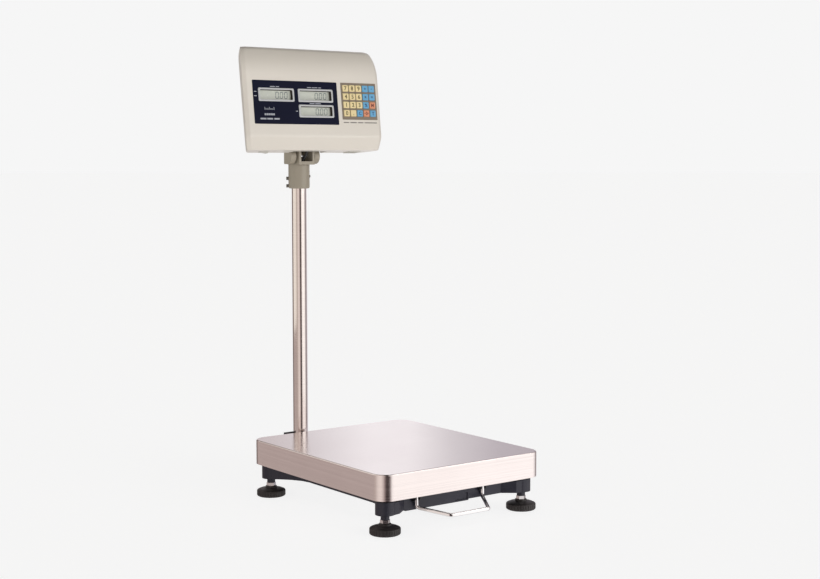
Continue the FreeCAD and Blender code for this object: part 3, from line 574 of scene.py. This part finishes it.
# a plain row of graduation ticks, and two rows of plain blocks under it
mx, mv = -113.0, 57.5
for i in range(9):
    tall = 3.4 if i % 4 == 0 else 1.9
    bar(mx - 11.0 + 2.75 * i - 0.5, mx - 11.0 + 2.75 * i + 0.5, mv - 3.0, mv - 3.0 + 1.7 * tall, 0.2)
for i in range(5):
    bar(mx - 12.4 + 5.1 * i, mx - 8.4 + 5.1 * i, 43.2, 47.2, 0.5)
for a_, b_ in ((-23, -9), (-7, 7), (10, 23)):
    bar(mx + a_, mx + b_, 34.4, 37.6, 0.5)
marks = finish_mesh("overlay_marks", bm, [EXTRA["pale_ink"]])
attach(marks, "head")

bm = bmesh.new()
for a, b in ((70.0, 84.0), (87.0, 104.0), (107.0, 121.0), (124.0, 157.0)):
    slab(bm, rrect(a, b, 29.6, 31.6, 0.5, 2), -0.12, 0.02)
under = finish_mesh("keypad_marks", bm, [EXTRA["grey_ink"]])
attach(under, "head")

# ------------------------------------------------------------------- keys
KEYS = [["7", "8", "9", "f1", "f2"], ["4", "5", "6", "f3", "f4"], ["1", "2", "3", "f5", "f6"],
        ["0", "point", "clear", "zero", "tare"]]


def glyph_mesh(text, size):
    cu = bpy.data.curves.new("g", "FONT")
    cu.body = text
    cu.size = size
    cu.align_x, cu.align_y = "CENTER", "CENTER"
    cu.resolution_u = 3
    cu.offset = 0.022 * size
    o = bpy.data.objects.new("g", cu)
    bpy.context.scene.collection.objects.link(o)
    dg = bpy.context.evaluated_depsgraph_get()
    me = bpy.data.meshes.new_from_object(o.evaluated_get(dg))
    bpy.data.objects.remove(o)
    bpy.data.curves.remove(cu)
    return me


def put_glyph(bm, text, size, cx, cv, d0, d1, mat):
    me = glyph_mesh(text, size)
    xs = [v.co.x for v in me.vertices]
    ys = [v.co.y for v in me.vertices]
    ox, oy = (min(xs) + max(xs)) / 2, (min(ys) + max(ys)) / 2
    t = bmesh.new()
    t.from_mesh(me)
    bmesh.ops.remove_doubles(t, verts=t.verts[:], dist=1e-4)
    ext = bmesh.ops.extrude_face_region(t, geom=t.faces[:])
    top = [g for g in ext["geom"] if isinstance(g, bmesh.types.BMVert)]
    topset = set(top)
    vmap = {}
    for v in t.verts:
        vmap[v] = bm.verts.new(H(cx + v.co.x - ox, d0 if v in topset else d1, cv + v.co.y - oy))
    for f in t.faces:
        try:
            bm.faces.new([vmap[v] for v in f.verts]).material_index = mat
        except ValueError:
            pass
    t.free()
    bpy.data.meshes.remove(me)


GLYPH = {"point": ".", "clear": "C", "zero": "0", "tare": "T", "f1": "+", "f2": "-", "f3": "x", "f4": "=", "f5": "%", "f6": "M"}
for r in range(4):
    for c in range(5):
        k = KEYS[r][c]
        kx = KEYPLATE[0] + 11.5 + c * 17.0
        kv = KEYPLATE[3] - 11.9 - r * 17.7
        bm = bmesh.new()
        w, h = 14.5 / 2, 13.8 / 2
        prof = [(-0.75, 2.4, 1.0), (-0.75, 1.4, 1.0), (0.0, 1.4, 2.0), (0.0, -1.1, 2.0), (0.12, -1.38, 1.95), (0.4, -1.56, 1.9),
                (0.9, -1.64, 1.8), (1.6, -1.62, 1.7), (2.8, -1.56, 1.5), (4.6, -1.52, 1.0)]
        rings = [[H(x, d, v) for x, v in rrect(kx - w + o_, kx + w - o_, kv - h + o_, kv + h - o_, rr, 5)] for o_, d, rr in prof]
        loft(bm, rings)
        slotname = slot_of["key_" + k]
        if k in GLYPH:
            put_glyph(bm, GLYPH[k], 10.0, kx, kv - (2.6 if k == "point" else 0), -1.70, -1.48, 1)
            if k in ("zero",):
                slab_pts = [(kx - 5.2, kv + 1.6), (kx - 3.0, kv), (kx - 5.2, kv - 1.6)]
                loft(bm, [[H(x, -1.70, v) for x, v in slab_pts], [H(x, -1.5, v) for x, v in slab_pts]], mat=1)
                slab_pts = [(kx + 5.2, kv + 1.6), (kx + 3.0, kv), (kx + 5.2, kv - 1.6)]
                loft(bm, [[H(x, -1.70, v) for x, v in slab_pts], [H(x, -1.5, v) for x, v in slab_pts]], mat=1)
        else:
            put_glyph(bm, k, 12.0, kx, kv, -1.70, -1.48, 1)
        cap = finish_mesh("cap_" + k, bm, [MAT[slotname], EXTRA["ink_" + slotname.split("_")[1]]], math.radians(40))
        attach(cap, "key_" + k)
        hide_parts("key_" + k)

# ----------------------------------------------------------- threaded studs
FEET = {"fl": (-170, -204), "fr": (170, -204), "rl": (-170, 204), "rr": (170, 204)}
for t, (fx, fy) in FEET.items():
    bm = bmesh.new()
    prof = [(0, 6.0), (4.2, 6.0), (5.0, 6.8), (5.0, 20.0)]
    z = 20.2
    while z < 63.5:
        prof += [(4.98, z), (4.98, z + 0.2), (4.25, z + 0.75), (4.25, z + 0.9)]
        z += 1.5
    prof += [(4.98, z), (4.98, 65.0), (4.1, 66.0), (0, 66.0)]
    lathe(bm, prof, fx, fy, 32)
    stud = finish_mesh("threaded_stud_" + t, bm, [MAT["zinc_steel"]], math.radians(50))
    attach(stud, "foot_" + t)
    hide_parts("foot_stud_" + t)

# ------------------------------------------------------------------- stage
bm = bmesh.new()
ring = [Vector((60 * math.cos(2 * math.pi * i / 96), 60 * math.sin(2 * math.pi * i / 96), -0.0003)) for i in range(96)]
bm.faces.new([bm.verts.new(p) for p in ring])
fm, nt, b = new_mat("pale_floor")
b.inputs["Base Color"].default_value = (0.38, 0.38, 0.38, 1)
b.inputs["Roughness"].default_value = 0.9
b.inputs["Specular IOR Level"].default_value = 0.0
b.inputs["Emission Color"].default_value = (1, 1, 1, 1)
b.inputs["Emission Strength"].default_value = 0.833
floor = finish_mesh("floor", bm, [fm])
for f in floor.data.polygons:
    f.use_smooth = False
if floor.data.polygons[0].normal.z < 0:
    floor.data.flip_normals()


def card(name, a0, a1, z0, z1, color, radius=0.8, steps=24):
    """Curved reflector seen only in glossy reflections; angles are polar, in degrees."""
    b = bmesh.new()
    lo, hi = [], []
    for i in range(steps + 1):
        a = math.radians(a0 + (a1 - a0) * i / steps)
        lo.append(b.verts.new((radius * math.cos(a), radius * math.sin(a), z0)))
        hi.append(b.verts.new((radius * math.cos(a), radius * math.sin(a), z1)))
    for i in range(steps):
        b.faces.new((lo[i], lo[i + 1], hi[i + 1], hi[i]))
    m, nt_, p = new_mat(name + "_light")
    p.inputs["Base Color"].default_value = (0, 0, 0, 1)
    p.inputs["Specular IOR Level"].default_value = 0.0
    p.inputs["Emission Color"].default_value = (*color, 1)
    p.inputs["Emission Strength"].default_value = 1.0
    o = finish_mesh(name, b, [m])
    o.visible_camera = o.visible_diffuse = o.visible_shadow = o.visible_transmission = o.visible_volume_scatter = False
    return o


def graded_ring(name, z0, z1, radius, stops, a0=0.0, a1=360.0):
    """Cylinder of light whose colour depends on the polar angle in degrees; seen only in glossy reflections."""
    o = card(name, a0, a1, z0, z1, (1, 1, 1), radius, 96)
    m = o.data.materials[0]
    nt_ = m.node_tree
    p = nt_.nodes["Principled BSDF"]
    tc = nt_.nodes.new("ShaderNodeTexCoord")
    g = nt_.nodes.new("ShaderNodeTexGradient")
    g.gradient_type = "RADIAL"
    nt_.links.new(tc.outputs["Object"], g.inputs["Vector"])
    nt_.links.new(ramp(nt_, g.outputs["Fac"], [(((a + 180.0) % 360.0) / 360.0, c) for a, c in stops]), p.inputs["Emission Color"])
    return o


# polar angle 233 points at the camera's side, 53 away from it
graded_ring("ring_light", -0.7, 1.6, 0.8, [
    (181, (0.60, 0.51, 0.47)), (198, (0.84, 0.74, 0.69)), (214, (0.90, 0.80, 0.75)), (224, (0.66, 0.56, 0.53)),
    (232, (0.30, 0.23, 0.22)), (238, (0.05, 0.035, 0.035)), (254, (0.05, 0.035, 0.035)), (261, (0.45, 0.39, 0.38)),
    (269, (1.05, 1.0, 0.97)), (280, (1.16, 1.12, 1.09)), (322, (1.22, 1.18, 1.16)),
    (338, (0.85, 0.80, 0.80)), (352, (0.20, 0.16, 0.15)), (372, (0.45, 0.41, 0.44)), (392, (0.55, 0.51, 0.55)),
    (401, (0.72, 0.69, 0.72)), (409, (1.0, 0.975, 1.0)), (417, (1.0, 0.975, 1.0)), (427, (0.79, 0.755, 0.78)),
    (438, (0.66, 0.60, 0.61)), (446, (0.66, 0.60, 0.61)), (456, (0.20, 0.16, 0.15)), (474, (0.20, 0.16, 0.15)),
    (482, (1.0, 0.95, 0.87)), (522, (0.95, 0.88, 0.80)), (535, (0.55, 0.46, 0.42))])
card("low_light", 116, 172, -0.6, 0.27, (0.50, 0.415, 0.39), 0.79)
card("crease_light", 284, 332, 0.70, 0.79, (4.6, 4.4, 4.25), 0.78)
floor.visible_glossy = False

world = bpy.data.worlds.new("studio")
bpy.context.scene.world = world
world.use_nodes = True
wn = world.node_tree
for nd in list(wn.nodes):
    wn.nodes.remove(nd)
out = wn.nodes.new("ShaderNodeOutputWorld")
light_bg = wn.nodes.new("ShaderNodeBackground")
light_bg.inputs["Strength"].default_value = 1.0
wtc = wn.nodes.new("ShaderNodeTexCoord")
wsep = wn.nodes.new("ShaderNodeSeparateXYZ")
wn.links.new(wtc.outputs["Generated"], wsep.inputs[0])
wn.links.new(ramp(wn, wsep.outputs["Z"], [(0.0, (0.85, 0.84, 0.83)), (0.2, (0.60, 0.59, 0.585)), (0.5, (0.13, 0.129, 0.122)),
                                          (1.0, (0.05, 0.05, 0.048))]), light_bg.inputs["Color"])
seen_bg = wn.nodes.new("ShaderNodeBackground")
seen_bg.inputs["Color"].default_value = (0.922, 0.922, 0.922, 1)
seen_bg.inputs["Strength"].default_value = 1.0
lp = wn.nodes.new("ShaderNodeLightPath")
mx_ = wn.nodes.new("ShaderNodeMixShader")
wn.links.new(lp.outputs["Is Camera Ray"], mx_.inputs[0])
wn.links.new(light_bg.outputs[0], mx_.inputs[1])
wn.links.new(seen_bg.outputs[0], mx_.inputs[2])
wn.links.new(mx_.outputs[0], out.inputs["Surface"])


def sun(name, toward, strength, angle, color=(1, 1, 1)):
    l = bpy.data.lights.new(name, "SUN")
    l.energy, l.angle, l.color = strength, math.radians(angle), color
    o = bpy.data.objects.new(name, l)
    bpy.context.scene.collection.objects.link(o)
    o.rotation_mode = "QUATERNION"
    o.rotation_quaternion = Vector(toward).to_track_quat("Z", "Y")
    return o


sun("key_sun", (0.25, -1.0, 0.02), 1.25, 40, (1.0, 0.985, 0.975))
sun("fill_sun", (-0.9, -0.5, 0.12), 0.33, 60, (1.0, 0.99, 0.98))

# ------------------------------------------------------------------ camera
az, el = math.radians(36.935), math.radians(5.121)
fwd = Vector((math.sin(az) * math.cos(el), math.cos(az) * math.cos(el), -math.sin(el)))
cd = bpy.data.cameras.new("camera")
cd.lens, cd.sensor_width = 65.85, 36.0
cd.clip_start, cd.clip_end = 0.05, 200.0
cam = bpy.data.objects.new("camera", cd)
bpy.context.scene.collection.objects.link(cam)
cam.location = Vector(((-1806.0 + SX) / 1000, (-2458.7 + SY) / 1000, 0.7142))
cam.rotation_mode = "QUATERNION"
cam.rotation_quaternion = fwd.to_track_quat("-Z", "Y")
bpy.context.scene.camera = cam
bpy.context.scene.view_settings.view_transform = "Standard"
